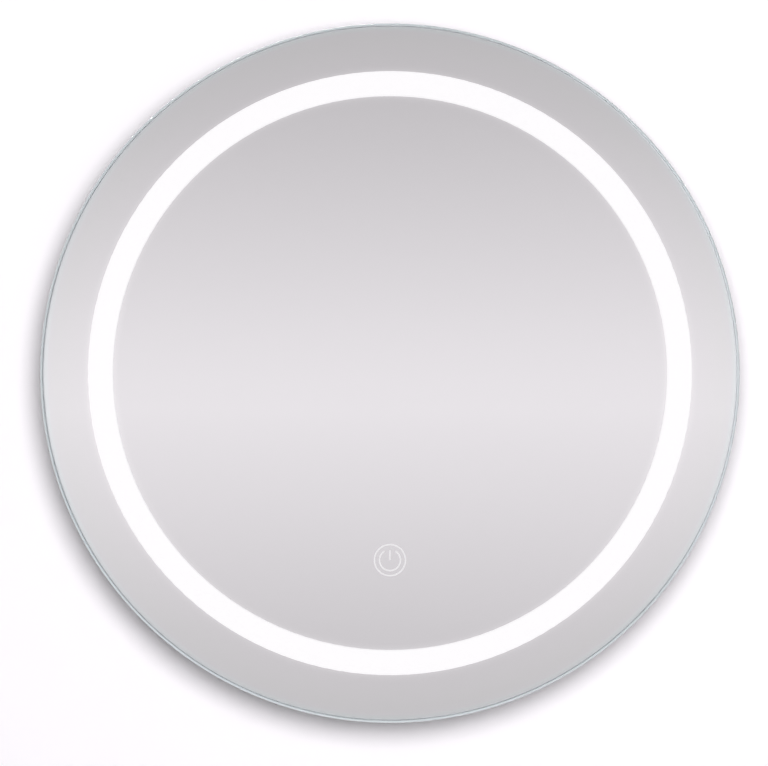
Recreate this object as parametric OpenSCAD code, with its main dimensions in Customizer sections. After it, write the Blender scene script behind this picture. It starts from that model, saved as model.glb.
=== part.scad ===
// Round lighted wall mirror. A front-lit mirror disc is bonded to a shallow round chassis,
// which holds the light, its driver and the touch switch. A bent rail on the chassis hooks
// over a steel frame that is screwed to the wall, and lifts off it.
//
// Everything is drawn as it hangs: X to the viewer's right, Z up, the wall is the plane
// Y = 0 and the glass faces -Y. The origin is the middle of the four wall screws.
// Inside on_wall() x is to the right, y is up and z is the distance out from the wall.

/* [Mirror glass] */
// Diameter of the mirror
glass_d = 600; // [500:10:900]
// Thickness of the float glass
glass_t = 5; // [4:0.5:8]
// How far the polished edge curves in from the rim
edge_round = 2.2; // [0.5:0.1:2.5]
// Thickness of the silvering with its backing paint
coating_t = 0.2; // [0.1:0.05:0.4]
// Width of the dark lacquer line that seals the silvering
seal_w = 1.1; // [0.5:0.1:3]

/* [Light band] */
// From the glass edge in to the frosted band
band_inset = 40.8; // [34:0.2:60]
// Width of the frosted band
band_w = 21.7; // [12:0.1:35]
// From the band's outer edge out to the frame wall
chamber_out = 9.3; // [7:0.1:12]
// From the band's inner edge in to the light baffle
chamber_in = 5.5; // [3:0.5:15]

/* [Touch mark] */
// From the band's inner edge up to the middle of the mark
mark_rise = 77; // [60:1:110]
// Radius of the mark's ring, to the middle of its line
mark_ring_r = 13.3; // [11:0.1:18]
// Radius of the mark's open circle, to the middle of its line
mark_arc_r = 9; // [6:0.1:9.5]
// Opening at the top of that circle, in degrees
mark_open = 64; // [40:1:90]
// Width of the etched lines
mark_line = 1.1; // [0.6:0.1:1.6]

/* [Chassis] */
// Depth of the chassis, from its back plate to its front flange
chassis_depth = 30; // [28:1:45]
// Thickness of the rolled aluminium frame
frame_t = 1.5; // [1:0.1:2.5]
// Width of the flange that is bonded to the glass
front_flange_w = 12; // [8:0.5:14]
// Width of the flange that takes the back plate
rear_flange_w = 14; // [12:0.5:20]
// Thickness of the back plate
plate_t = 1.2; // [0.8:0.1:2]
// Thickness of the gasket under the back plate
gasket_t = 0.8; // [0.5:0.1:1.5]
// Number of back plate screws
plate_screw_count = 8; // [6:2:12]
// Thickness of the bonding tape behind the glass
tape_t = 1; // [0.5:0.1:2]
// Size of the silicone bead round the flange
bead_w = 3; // [2:0.5:4]
// Thickness of the light baffle
baffle_t = 1.2; // [0.8:0.1:2]
// Width of the stiffening ridges pressed into the back plate
ridge_w = 10; // [8:0.5:12]
// Height of those ridges
ridge_h = 1.4; // [0.8:0.1:2]
// Length of the straight ridges
ridge_l = 190; // [120:5:210]

/* [LED strip] */
// Width of the strip
strip_w = 8; // [8:0.5:10]
// Distance from one LED to the next
led_pitch = 16.7; // [12:0.1:33]
// Distance of the strip's middle from the back plate
strip_rise = 14; // [13:0.5:17]

/* [Driver] */
// Length of the driver's case
driver_l = 160; // [130:1:180]
// Width of the driver's case
driver_w = 44; // [40:1:50]
// Height of the driver's case
driver_h = 21; // [20:0.5:24]
// Wall of the driver's case
driver_wall = 2; // [1.5:0.1:2.5]
// Height of the driver's middle above the mirror's middle
driver_up = 37; // [34:1:44]

/* [Wiring box] */
// Width of the access opening in the back plate
box_w = 56; // [54:1:59]
// Height of the access opening in the back plate
box_h = 46; // [44:1:50]
// Depth of the box
box_d = 21; // [20:0.5:24]
// Wall of the box
box_wall = 1.8; // [1.5:0.1:2.2]
// The opening's middle, to the right of the mirror's middle
box_right = 72; // [68:1:76]
// The opening's middle, below the mirror's middle
box_down = 32; // [30:1:36]
// Radius of the hole for the supply cable
entry_r = 4; // [3:0.1:5]

/* [Touch switch] */
// From the mark's ring out to the case's ends
touch_end = 9; // [7:0.5:14]
// From the mark's ring out to the case's long sides
touch_side = 3.4; // [3:0.1:6]
// Depth of the switch's case
touch_d = 9.5; // [8:0.5:12]
// Thickness of the milky plate that lights the mark
diffuser_t = 2; // [1.5:0.1:3]

/* [Hanging] */
// Sheet thickness of the wall frame and of the rail
hook_t = 2; // [1.5:0.1:2.5]
// Clear space behind the wall frame's hook
hook_gap = 5; // [4.8:0.1:7]
// Height of the hook above its shelf
hook_h = 14; // [10:0.5:20]
// Width of the wall frame
wall_frame_w = 300; // [280:2:330]
// Height of the wall frame's plate
wall_frame_h = 186; // [180:2:200]
// Width of the wall frame's four bars
wall_bar_w = 36; // [30:1:40]
// From the wall frame's ends in to the wall screws
screw_inset_x = 25; // [12:1:26]
// From the top and bottom of its plate in to the wall screws
screw_inset_y = 18; // [12:1:24]
// Diameter of the wall screw holes
wall_hole_d = 5.5; // [4:0.5:7]
// Width of the mirror's rail
rail_w = 260; // [220:2:270]
// Height of the rail's flange
rail_flange_h = 28; // [24:1:36]
// Diameter of the rubber bumpers
bumper_d = 24; // [16:1:32]

/* [Hidden] */
$fn = 64;
large_fn = 240;                  // sides of the large rounds, when they are drawn as a mesh
eps = 0.01;                      // overshoot of a cut, past the face that it leaves
slip = 0.1;                      // radial room of a screw or rivet in its hole
etch_gap = 0.05;                 // room between an etched area and the silvering round it
hook_play = 1;                   // room between the wall frame's hook and the rail
bend_r = 1;                      // inner radius of a sheet metal bend

// Distances from the wall
plate_z = hook_gap + 2 * hook_t + hook_play;
floor_z = plate_z + plate_t;
flange_z = floor_z + gasket_t;
front_z = plate_z + chassis_depth;
coating_z = front_z + tape_t;
glass_z = coating_z + coating_t;
face_z = glass_z + glass_t;

// Radii
glass_r = glass_d / 2;
edge_in = min(edge_round, glass_t / 2);
flat_r = glass_r - edge_in;
silver_r = flat_r - seal_w;
band_out_r = glass_r - band_inset;
band_in_r = band_out_r - band_w;
wall_in_r = band_out_r + chamber_out;
wall_out_r = wall_in_r + frame_t;
flange_out_r = wall_out_r + front_flange_w;
flange_in_r = wall_in_r - rear_flange_w;
baffle_out_r = band_in_r - chamber_in;
baffle_in_r = baffle_out_r - baffle_t;
baffle_flange_w = 10;
baffle_play = 0.3;               // between the baffle's front edge and the glass
baffle_rivet_r = baffle_in_r - baffle_flange_w / 2;
baffle_rivet_count = 6;
ridge_r = (baffle_out_r + flange_in_r) / 2;
plate_inset = 0.5;                // how far the back plate's rim stays inside the frame's
plate_r = wall_out_r - plate_inset;
screw_ring_r = (flange_in_r + wall_in_r) / 2;
mark_y = mark_rise - band_in_r;

// Fasteners: thread radius, head radius and head height
m4 = [1.95, 3.8, 2.4];
m3 = [1.45, 2.8, 1.8];
m4_l = 8;
m3_l = 6;
rivet = [1.6, 3.2, 1.1];
screw_start = 180 / plate_screw_count;

// Frame seam, at the bottom
seam_w = 0.4;
joiner_l = 60;
joiner_t = 1.5;
joiner_play = 0.5;
joiner_z = flange_z + frame_t + joiner_play;
joiner_rivet = [1.2, 2.3, 0.9];
joiner_pitch = 14;
blind_end = 1.6;                 // how far a rivet's blind end stands out

// Light
strip_t = 0.4;
strip_z = plate_z + strip_rise;
joiner_h = strip_z - strip_w / 2 - joiner_play - joiner_z;
strip_glue = 0.1;                // adhesive between the strip and the frame
strip_r = wall_in_r - strip_glue;
chip = [3.5, 2.8, 0.8];          // along the strip, across it and out from it
chip_r = strip_r - strip_t;
chip_seat = 0.05;                // solder under the chips, which clears the curve of the strip
strip_arc = 353;
connector_angle = -61;
connector = [14, strip_w + 2, 4.2];
connector_z = 0.15;              // its seat, which clears the curve of the strip
strip_start = connector_angle;
chip_step = led_pitch / chip_r * 180 / PI;
chip_count = floor(strip_arc / chip_step - 0.5);
chips_per_resistor = 3;
resistor = [2, 1.25, 0.5];

// Leads
lead_r = 2.4;
lead_sides = 10;
lead_room = 1;                   // round a lead in the wall that it passes through
core_r = 1.2;
clip_bore = lead_r + 0.4;
clip_block = [8, 11, 7.6];
clip_base = [8, 18, 1.2];
clip_lead_z = floor_z + clip_base[2] + lead_r + 1.4;

// Driver
driver_x = driver_l / 2;
driver_z = floor_z + driver_h / 2;
driver_lid_t = driver_wall;
lug = [13, 22, 2.5];
board_t = 1.6;
post_h = 2;
board_room = 0.5;                // between a case's wall and the board in it
board_z = floor_z + driver_wall + post_h;
parts_z = board_z + board_t;
post_r = 2.5;
post_inset = [12, 9];            // of the board's posts, from the ends and the sides
transformer_x = 8;
capacitor_r = 4.9;
capacitor_l = 20;
capacitor_x = [-48, 38];
capacitor_y = [8, -7];
choke_spot = [-22, -5];

// Wiring box
box_rim = 10;
box_floor_z = floor_z + box_d;
cover_t = 1.2;
cover_z = plate_z - cover_t;
cover_w = box_w + 2 * box_rim;
cover_h = box_h + 2 * box_rim;
block = [30, 17, 13];
block_pitch = 10;
block_pos = [box_right - 7, -box_down + 9.5];
block_z = box_floor_z - box_wall - block[2];
block_slot = [1.2, 3];           // width and depth of the slots between its terminals
block_screw_r = 1.2;
block_well_r = 2.2;              // wells that the terminal screws are reached through
insert_r = 2.6;
insert_wall = 0.9;
entry_pos = [box_right + 15, -box_down - 11];
grommet_wall = 2;
grommet_lip = 2;
clamp = [8, 22, 9];
clamp_open = 6.4;                // room for the supply cable, which the clamp presses a little
clamp_pos = [box_right - 10, -box_down - 11];
supply_r = entry_r - 0.25;
clamp_screw_inset = 3.4;
earth_pos = [box_right - box_w / 2 - 30, -box_down - 8];
tag_t = 0.8;
tag_r = 4.2;
nut_af = 7;
nut_h = 3.2;

// Touch switch
touch_wall = 1.2;
mark_r = mark_ring_r + mark_line / 2;
touch_w = 2 * (mark_r + touch_end);
touch_h = 2 * (mark_r + touch_side);
diffuser_z = coating_z - diffuser_t;
touch_z = diffuser_z - touch_d;
touch_rim = 0.6;                 // from the mark out to the window, and the case in to the electrode
touch_window_r = mark_r + touch_rim;
electrode = [touch_window_r + 2 * slip, mark_r + touch_side - touch_rim, 0.4];
contact_r = 0.6;
touch_board = [touch_w - 2 * (touch_wall + board_room), touch_h - 2 * (touch_wall + board_room), 1];
touch_lead_z = touch_z + touch_d / 2;

// Hanging
hook_shelf_y = wall_frame_h / 2;
seat_y = hook_shelf_y + hook_h;
rail_z = plate_z - hook_t;
rail_lip_z = (hook_gap - hook_t) / 2;
rail_lip_play = 2;
rail_hole_y = seat_y + bend_r + hook_t + (rail_flange_h - bend_r - hook_t) / 2;
rail_hole_inset = 20;
rail_hole_step = (rail_w - 2 * rail_hole_inset) / 3;
screw_x = wall_frame_w / 2 - screw_inset_x;
screw_y = wall_frame_h / 2 - screw_inset_y;
bumper_angles = [-135, -45];
bumper_play = 2;                 // between the bumpers and the baffle's flange
bumper_r = baffle_in_r - baffle_flange_w - bumper_d / 2 - bumper_play;
bumper_recess = 4;
bumper_taper = 1.5;
ridge_step = 24;
ridge_y = -(wall_frame_h / 2 + ridge_step / 2);

// Turns wall coordinates into the object's own
module on_wall() {
    rotate([90, 0, 0]) children();
}

module ring(r_in, r_out, h, z = 0) {
    translate([0, 0, z]) difference() {
        cylinder(r = r_out, h = h, $fn = large_fn);
        translate([0, 0, -eps]) cylinder(r = r_in, h = h + 2 * eps, $fn = large_fn);
    }
}

// A hole of radius r, from z up through h
module bore(r, h, z = 0) {
    translate([0, 0, z - eps]) cylinder(r = r, h = h + 2 * eps);
}

module around(count, r, start = 0) {
    for (i = [0 : count - 1])
        rotate([0, 0, start + i * 360 / count]) translate([r, 0, 0]) children();
}

module rounded_rect(w, h, r) {
    square([w - 2 * r, h], center = true);
    square([w, h - 2 * r], center = true);
    for (x = [-1, 1], y = [-1, 1])
        translate([x * (w / 2 - r), y * (h / 2 - r)]) circle(r = r);
}

module rounded_plate(w, h, r, t, z = 0) {
    translate([0, 0, z]) linear_extrude(height = t) rounded_rect(w, h, r);
}

module block_at(size, z = 0) {
    translate([-size[0] / 2, -size[1] / 2, z]) cube(size);
}

// Extrudes a profile drawn in (y, z) along x, about the middle
module along_x(length) {
    translate([-length / 2, 0, 0]) rotate([90, 0, 90])
        linear_extrude(height = length) children();
}

// A quarter of a sheet metal bend about [y, z], in the quadrant that the signs give
module bend(y, z, side_y, side_z) {
    outer = bend_r + hook_t;
    translate([y, z]) intersection() {
        difference() {
            circle(r = outer);
            circle(r = bend_r);
        }
        translate([side_y > 0 ? 0 : -outer, side_z > 0 ? 0 : -outer]) square(outer);
    }
}

// A pan head screw that goes in along +z, with its head seated on z = 0
module pan_screw(size, length) {
    dome = 1.6 * size[1];
    cross = [0.8, 1.1 * size[1], 0.6 * size[2]];
    difference() {
        intersection() {
            translate([0, 0, -size[2]]) cylinder(r = size[1], h = size[2]);
            translate([0, 0, dome - size[2]]) sphere(r = dome);
        }
        for (turn = [0, 90]) rotate([0, 0, turn]) block_at(cross, -size[2] - eps);
    }
    cylinder(r = size[0], h = length);
}

// A blind rivet that goes in along +z through a stack as thick as grip
module blind_rivet(size, grip) {
    dome = 1.5 * size[1];
    intersection() {
        translate([0, 0, -size[2]]) cylinder(r = size[1], h = size[2]);
        translate([0, 0, dome - size[2]]) sphere(r = dome);
    }
    cylinder(r = size[0], h = grip);
    translate([0, 0, grip]) cylinder(r = 1.35 * size[0], h = blind_end);
}

// Leads: a smooth curve through the points of a route, and a tube along it
function spline(a, b, c, d, t) =
    0.5 * (2 * b + (c - a) * t + (2 * a - 5 * b + 4 * c - d) * t * t
           + (3 * b - a - 3 * c + d) * t * t * t);
function smooth(route, steps) =
    let (last = len(route) - 1)
    [for (i = [0 : last - 1], s = [0 : steps - 1])
        spline(route[max(i - 1, 0)], route[i], route[i + 1], route[min(i + 2, last)], s / steps),
     route[last]];
function unit(v) = v / norm(v);
function tangent(path, i) = unit(path[min(i + 1, len(path) - 1)] - path[max(i - 1, 0)]);

module tube(route, r, sides, steps = 5) {
    path = smooth(route, steps);
    rings = len(path);
    points = [for (i = [0 : rings - 1])
        let (along = tangent(path, i), side = unit(cross(along, [0, 0, 1])), up = cross(side, along))
        for (k = [0 : sides - 1])
            path[i] + r * (cos(360 * k / sides) * side + sin(360 * k / sides) * up)];
    skin = [for (i = [0 : rings - 2], k = [0 : sides - 1])
        let (a = i * sides + k, b = i * sides + (k + 1) % sides)
        each [[a, b, b + sides], [a, b + sides, a + sides]]];
    ends = [[for (k = [sides - 1 : -1 : 0]) k], [for (k = [0 : sides - 1]) (rings - 1) * sides + k]];
    polyhedron(points = points, faces = concat(skin, ends), convexity = 6);
}

// Mirror glass and what is on its back

module mirror_glass() {
    edge_r = (edge_in * edge_in + glass_t * glass_t / 4) / (2 * edge_in);
    color([0.85, 0.93, 0.92, 0.35]) on_wall() translate([0, 0, glass_z])
        rotate_extrude($fn = large_fn) {
            square([flat_r, glass_t]);
            intersection() {
                translate([glass_r - edge_r, glass_t / 2]) circle(r = edge_r);
                translate([flat_r, 0]) square([edge_in, glass_t]);
            }
        }
}

// The open ring and bar of the touch mark, as an outline that grow makes wider
module mark_outline(grow = 0) {
    half = mark_line / 2 + grow;
    reach = mark_ring_r;
    difference() {
        circle(r = mark_ring_r + half);
        circle(r = mark_ring_r - half);
    }
    difference() {
        circle(r = mark_arc_r + half);
        circle(r = mark_arc_r - half);
        polygon([[0, 0],
                 [-reach * tan(mark_open / 2), reach],
                 [reach * tan(mark_open / 2), reach]]);
    }
    translate([-half, -grow]) square([2 * half, mark_arc_r - mark_line / 2 + 2 * grow]);
}

module mark_solid(grow, h, z) {
    translate([0, mark_y, z]) linear_extrude(height = h) mark_outline(grow);
}

module mirror_silvering() {
    color("gainsboro") on_wall() {
        difference() {
            translate([0, 0, coating_z])
                cylinder(r = band_in_r - etch_gap, h = coating_t, $fn = large_fn);
            mark_solid(etch_gap, coating_t + 2 * eps, coating_z - eps);
        }
        ring(band_out_r + etch_gap, silver_r, coating_t, coating_z);
    }
}

module edge_seal() {
    color("dimgray") on_wall() ring(silver_r + etch_gap, flat_r, coating_t, coating_z);
}

module frosted_band() {
    color("white") on_wall() ring(band_in_r, band_out_r, coating_t, coating_z);
}

module touch_mark() {
    color("white") on_wall() mark_solid(0, coating_t, coating_z);
}

module bonding_tape() {
    inset = 1;
    color("dimgray") on_wall() ring(wall_out_r + inset, flange_out_r - inset, tape_t, front_z);
}

module silicone_bead() {
    bead_h = min(bead_w, tape_t + frame_t);
    color("whitesmoke") on_wall() rotate_extrude($fn = large_fn)
        polygon([[flange_out_r + slip, coating_z],
                 [flange_out_r + slip, coating_z - bead_h],
                 [flange_out_r + slip + bead_w, coating_z]]);
}

// Chassis

module frame_ring() {
    seam = seam_w / wall_in_r * 180 / PI;
    wall_h = front_z - frame_t - flange_z;
    color("silver") on_wall() difference() {
        rotate([0, 0, seam / 2 - 90]) rotate_extrude(angle = 360 - seam, $fn = large_fn) {
            translate([wall_in_r, flange_z]) square([frame_t, wall_h]);
            translate([flange_in_r, flange_z]) square([rear_flange_w + eps, frame_t]);
        }
        around(plate_screw_count, screw_ring_r, screw_start) bore(m4[0] + slip, frame_t, flange_z);
        joiner_places() translate([0, 0, -joiner_t]) bore(joiner_rivet[0] + slip, 3 * joiner_t);
    }
}

// A flat ring that is welded to the frame's front edge
module front_flange() {
    color("silver") on_wall() ring(wall_in_r, flange_out_r, frame_t, front_z - frame_t);
}

// The joiner's rivets, each set on the frame's outside and going in along +z
module joiner_places() {
    for (i = [-1.5, -0.5, 0.5, 1.5])
        rotate([0, 0, -90 + i * joiner_pitch / wall_out_r * 180 / PI])
            translate([wall_out_r, 0, joiner_z + joiner_h / 2]) rotate([0, -90, 0]) children();
}

module frame_joiner() {
    arc = joiner_l / wall_in_r * 180 / PI;
    color("silver") on_wall() difference() {
        rotate([0, 0, -90 - arc / 2]) rotate_extrude(angle = arc, $fn = large_fn)
            translate([wall_in_r - joiner_t - slip, joiner_z]) square([joiner_t, joiner_h]);
        joiner_places() bore(joiner_rivet[0] + slip, 3 * joiner_t + frame_t);
    }
}

module joiner_rivets() {
    color("lightgray") on_wall() joiner_places()
        translate([0, 0, -slip]) blind_rivet(joiner_rivet, frame_t + joiner_t + 4 * slip);
}

module box_screw_places() {
    x = (cover_w - box_rim) / 2;
    y = (cover_h - box_rim) / 2;
    for (i = [-1, 1], j = [-1, 1])
        translate([box_right + i * x, -box_down + j * y, 0]) children();
}

module driver_screw_places() {
    for (side = [-1, 1])
        translate([side * (driver_x + lug[0] / 2), driver_up, 0]) children();
}

module rail_places() {
    for (i = [-1.5, -0.5, 0.5, 1.5])
        translate([i * rail_hole_step, rail_hole_y, 0]) children();
}

module bumper_places() {
    for (a = bumper_angles) rotate([0, 0, a]) translate([bumper_r, 0, 0]) children();
}

// A pressed ridge's outline: raised over the plate, or hollow behind it if shrink is the plate's wall
module ridge_ring(shrink, z, h) {
    ring(ridge_r - ridge_w / 2 + shrink, ridge_r + ridge_w / 2 - shrink, h, z);
}

module ridge_bars(shrink, z, h) {
    for (i = [0 : 2]) translate([0, ridge_y - i * ridge_step, z])
        linear_extrude(height = h) {
            square([ridge_l - ridge_w, ridge_w - 2 * shrink], center = true);
            for (side = [-1, 1]) translate([side * (ridge_l - ridge_w) / 2, 0])
                circle(r = ridge_w / 2 - shrink);
        }
}

module back_plate() {
    color("lightsteelblue") on_wall() difference() {
        union() {
            translate([0, 0, plate_z]) cylinder(r = plate_r, h = plate_t, $fn = large_fn);
            ridge_ring(0, plate_z - ridge_h, ridge_h + eps);
            ridge_bars(0, plate_z - ridge_h, ridge_h + eps);
        }
        ridge_ring(plate_t, floor_z - ridge_h, ridge_h + eps);
        ridge_bars(plate_t, floor_z - ridge_h, ridge_h + eps);
        translate([box_right, -box_down, 0])
            rounded_plate(box_w, box_h, 3, plate_t + 2 * eps, plate_z - eps);
        around(plate_screw_count, screw_ring_r, screw_start) bore(m4[0] + slip, plate_t, plate_z);
        around(baffle_rivet_count, baffle_rivet_r) bore(rivet[0] + slip, plate_t, plate_z);
        box_screw_places() bore(m3[0] + slip, plate_t, plate_z);
        driver_screw_places() bore(m4[0] + slip, plate_t, plate_z);
        rail_places() bore(rivet[0] + slip, plate_t, plate_z);
        bumper_places() bore(m4[0] + slip, plate_t, plate_z);
        translate(earth_pos) bore(m4[0] + slip, plate_t, plate_z);
    }
}

module plate_gasket() {
    inset = 1;
    color("darkslategray") on_wall() difference() {
        ring(flange_in_r + inset, wall_in_r, gasket_t, floor_z);
        around(plate_screw_count, screw_ring_r, screw_start) bore(m4[0] + slip, gasket_t, floor_z);
    }
}

module plate_screws() {
    color("silver") on_wall() around(plate_screw_count, screw_ring_r, screw_start)
        translate([0, 0, plate_z]) pan_screw(m4, m4_l);
}

module light_baffle() {
    baffle_h = coating_z - baffle_play - floor_z;
    color("white") on_wall() difference() {
        union() {
            ring(baffle_in_r, baffle_out_r, baffle_h, floor_z);
            ring(baffle_in_r - baffle_flange_w, baffle_in_r + eps, baffle_t, floor_z);
        }
        around(baffle_rivet_count, baffle_rivet_r) bore(rivet[0] + slip, baffle_t, floor_z);
        rotate([0, 0, connector_angle]) translate([baffle_in_r + baffle_t / 2, 0, strip_z])
            rotate([0, 90, 0]) cylinder(r = lead_r + lead_room, h = 4 * baffle_t, center = true);
    }
}

module baffle_rivets() {
    color("lightgray") on_wall() around(baffle_rivet_count, baffle_rivet_r)
        translate([0, 0, plate_z]) blind_rivet(rivet, plate_t + baffle_t);
}

// Light

module on_strip(angle) {
    rotate([0, 0, angle]) translate([chip_r, 0, strip_z]) rotate([90, 0, -90]) children();
}

module led_strip() {
    color("white") on_wall() rotate([0, 0, strip_start])
        rotate_extrude(angle = strip_arc, $fn = large_fn)
            translate([strip_r - strip_t, strip_z - strip_w / 2]) square([strip_t, strip_w]);
}

module led_chips() {
    color("khaki") on_wall() for (i = [1 : chip_count])
        on_strip(strip_start + i * chip_step) block_at(chip, chip_seat);
}

module strip_resistors() {
    color("black") on_wall() for (i = [1 : chips_per_resistor : chip_count - 1])
        on_strip(strip_start + (i + 0.5) * chip_step) block_at(resistor, chip_seat);
}

module strip_connector() {
    color("whitesmoke") on_wall() on_strip(connector_angle) block_at(connector, connector_z);
}

// Driver

module driver_case() {
    inner = [driver_l - 2 * driver_wall, driver_w - 2 * driver_wall];
    tray_h = driver_h - driver_lid_t;
    color("dimgray") on_wall() translate([0, driver_up, floor_z]) difference() {
        union() {
            rounded_plate(driver_l, driver_w, 3, tray_h);
            rounded_plate(driver_l + 2 * lug[0], lug[1], 4, lug[2]);
        }
        block_at([inner[0], inner[1], tray_h], driver_wall);
        for (side = [-1, 1]) {
            translate([side * (driver_x + lug[0] / 2), 0, 0]) bore(m4[0] + slip, lug[2]);
            translate([side * (driver_x - driver_wall / 2), 0, driver_h / 2]) rotate([0, 90, 0])
                cylinder(r = lead_r + slip, h = 2 * driver_wall, center = true);
        }
    }
    color("dimgray") on_wall() for (x = [-1, 1], y = [-1, 1])
        translate([x * (driver_x - post_inset[0]), driver_up + y * (driver_w / 2 - post_inset[1]),
                   floor_z + driver_wall - eps])
            cylinder(r = post_r, h = post_h + eps);
}

module driver_lid() {
    lip_in = driver_wall + board_room / 2;
    lip_h = 1.5;
    color("gray") on_wall() translate([0, driver_up, floor_z + driver_h - driver_lid_t]) {
        rounded_plate(driver_l, driver_w, 3, driver_lid_t);
        difference() {
            block_at([driver_l - 2 * lip_in, driver_w - 2 * lip_in, lip_h + eps], -lip_h);
            block_at([driver_l - 4 * lip_in, driver_w - 4 * lip_in, lip_h + eps], -lip_h - eps);
        }
    }
}

module driver_board() {
    room = driver_wall + board_room;
    color("darkgreen") on_wall() translate([0, driver_up, board_z])
        block_at([driver_l - 2 * room, driver_w - 2 * room, board_t]);
}

module driver_transformer() {
    core = [26, 24, 11];
    winding = [16, 28, 8.5];
    color("goldenrod") on_wall() translate([transformer_x, driver_up, parts_z]) {
        block_at(core);
        block_at(winding, (core[2] - winding[2]) / 2);
    }
}

module driver_capacitors() {
    color("navy") on_wall() for (i = [0, 1])
        translate([capacitor_x[i], driver_up + capacitor_y[i], parts_z + capacitor_r])
            rotate([0, 90, 0]) cylinder(r = capacitor_r, h = capacitor_l, center = true);
}

module driver_choke() {
    wound_r = 3.5;
    color("chocolate") on_wall()
        translate([choke_spot[0], driver_up + choke_spot[1], parts_z + wound_r])
            rotate_extrude() translate([wound_r + 3, 0]) circle(r = wound_r);
}

module driver_screws() {
    color("silver") on_wall() driver_screw_places()
        translate([0, 0, floor_z + lug[2]]) mirror([0, 0, 1]) pan_screw(m4, lug[2] + plate_t + 2);
}

// Leads. Each route starts and ends square to the face that the lead goes into, and it
// runs straight through each wall and clip.
function run(from, along, steps) = [for (d = steps) from + d * along];

box_top_y = -box_down + box_h / 2 + box_wall;
box_left_x = box_right - box_w / 2 - box_wall;
terminal_z = box_floor_z - box_wall - block[2] / 2;
terminal_in = [block_pos[0] + block_pitch, block_pos[1] + block[1] / 2, terminal_z];
terminal_earth = [block_pos[0] - block_pitch, block_pos[1] - block[1] / 2, terminal_z];
earth_hole_z = floor_z + 7;
earth_end = [earth_pos[0] + tag_r + 4, earth_pos[1], floor_z + tag_t + core_r + slip];
driver_in = [driver_x - driver_wall, driver_up, driver_z];
driver_out = [-driver_x + driver_wall, driver_up, driver_z];
driver_low_y = driver_up - driver_w / 2;
touch_in = [-touch_w / 2 + touch_wall, mark_y, touch_lead_z];
touch_out = [touch_w / 2 - touch_wall, mark_y, touch_lead_z];
clip_x = -driver_x - 38;
clip_one = [clip_x, driver_low_y - 48, clip_lead_z];
clip_two = [clip_x, (clip_one[1] + mark_y) / 2 - 5, clip_lead_z];
strip_lead_dir = [cos(connector_angle), sin(connector_angle), 0];
strip_lead_end = strip_lead_dir * (chip_r - connector_z - connector[2] - slip) + [0, 0, strip_z];
lead_play = 0.2;                 // between a lead's end and the terminal that grips its cores

input_route = concat(
    run(terminal_in + [0, lead_play, 0], [0, 1, 0], [0, 4, 8]),
    [[terminal_in[0] + 3, box_top_y + 10, terminal_z],
     [driver_x + 8, driver_low_y - 4, terminal_z],
     [driver_x + 16, driver_low_y + 5, (terminal_z + driver_z) / 2],
     [driver_x + 17, driver_up - 9, driver_z]],
    run(driver_in, [1, 0, 0], [14, 7, 0]));
output_route = concat(
    run(driver_out, [-1, 0, 0], [0, 7, 14]),
    [[clip_x + 12, driver_up - 4, driver_z],
     [clip_x + 3, driver_up - 16, driver_z - 2],
     [clip_x, driver_low_y - 18, clip_lead_z + 1]],
    run(clip_one, [0, -1, 0], [-14, -6, 6]),
    run(clip_two, [0, -1, 0], [-6, 6, 14]),
    [[clip_x + 10, (clip_two[1] + mark_y) / 2 - 6, clip_lead_z + 3],
     [(clip_x + touch_in[0]) / 2 - 12, mark_y + 9, (clip_lead_z + touch_lead_z) / 2],
     [(clip_x + touch_in[0]) / 2 + 14, mark_y + 1, touch_lead_z - 3]],
    run(touch_in, [-1, 0, 0], [14, 7, 0]));
strip_route = concat(
    run(touch_out, [1, 0, 0], [0, 7, 14]),
    [touch_out + [34, 0, -3],
     strip_lead_dir * (baffle_in_r - 37) + [-5, 5, strip_z + 3]],
    run([0, 0, strip_z], strip_lead_dir, [baffle_in_r - 24, baffle_in_r - 12, baffle_out_r + 12]),
    [strip_lead_end]);
earth_route = concat(
    run(terminal_earth - [0, lead_play, 0], [0, -1, 0], [0, 3]),
    [[terminal_earth[0] - 3, earth_pos[1] + 2, terminal_z - 2],
     [box_left_x + box_wall + 3, earth_pos[1], earth_hole_z + 1],
     [box_left_x - 3, earth_pos[1], earth_hole_z - 1]],
    run(earth_end, [1, 0, 0], [8, 4, 0]));

module driver_input_lead() {
    color("lightgray") on_wall() tube(input_route, lead_r, lead_sides);
}

module driver_output_lead() {
    color("lightgray") on_wall() tube(output_route, lead_r, lead_sides);
}

module strip_lead() {
    color("lightgray") on_wall() tube(strip_route, lead_r, lead_sides);
}

module earth_lead() {
    color("yellowgreen") on_wall() tube(earth_route, core_r, lead_sides);
}

module lead_clips() {
    color("white") on_wall() for (at = [clip_one, clip_two])
        translate([at[0], at[1], floor_z]) difference() {
            union() {
                block_at([clip_base[1], clip_base[0], clip_base[2]]);
                block_at([clip_block[1], clip_block[0], clip_block[2]]);
            }
            translate([0, 0, at[2] - floor_z]) rotate([90, 0, 0])
                cylinder(r = clip_bore, h = 2 * clip_block[0], center = true);
        }
}

// Wiring box

module lead_hole(at, toward) {
    translate(at) rotate([0, 90, toward])
        cylinder(r = lead_r + lead_room, h = 4 * box_wall, center = true);
}

module wiring_box() {
    rim_t = 1.6;
    color("whitesmoke") on_wall() difference() {
        translate([box_right, -box_down, floor_z]) difference() {
            union() {
                rounded_plate(cover_w, cover_h, 6, rim_t);
                rounded_plate(box_w + 2 * box_wall, box_h + 2 * box_wall, 4, box_d);
            }
            block_at([box_w, box_h, box_d - box_wall + eps], -eps);
        }
        box_screw_places() bore(m3[0] + slip, rim_t, floor_z);
        clamp_screw_places() bore(m3[0] + slip, box_wall, box_floor_z - box_wall);
        lead_hole([terminal_in[0], box_top_y - box_wall / 2, terminal_in[2]], 90);
        lead_hole([box_left_x + box_wall / 2, earth_pos[1], earth_hole_z], 0);
    }
}

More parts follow.
